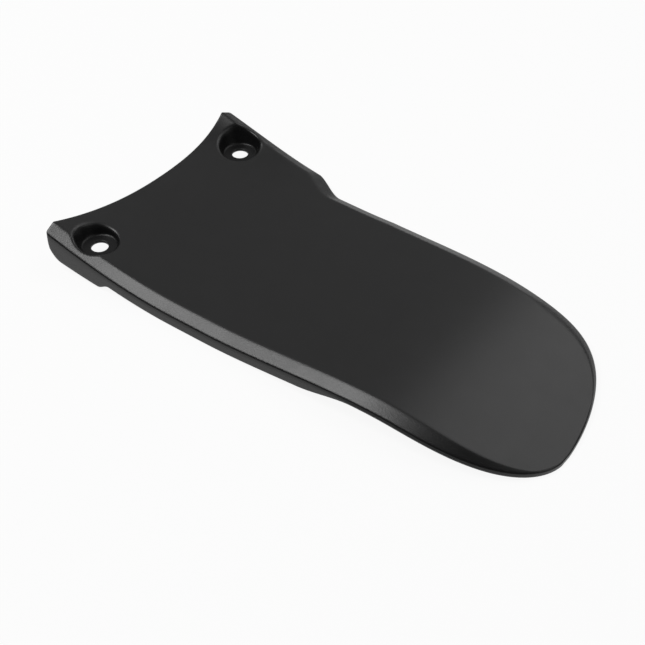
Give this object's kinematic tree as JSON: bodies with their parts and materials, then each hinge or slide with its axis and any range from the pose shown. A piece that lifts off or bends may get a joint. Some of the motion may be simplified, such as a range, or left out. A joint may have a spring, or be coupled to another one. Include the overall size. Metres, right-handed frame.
{
  "type": "rear hugger mudguard",
  "caption": "Moulded plastic mudguard panel: long waved sheet with side bevels and skirts, a hollow front edge and bolt seats at its front corners.",
  "frame": {"origin": "midway between the two bolt holes, level with the floors of their seats", "axes": "+Z along the bolts towards their heads, +Y towards the bolted front edge, +X to the right, where the side flare is"},
  "size_m": [0.1659, 0.3217, 0.0292],
  "materials": {
    "moulded_plastic": "satin black moulded plastic with a fine grain on the side bevels"
  },
  "bodies": {
    "root": {"mudguard": "moulded_plastic"}
  },
  "joints": []
}
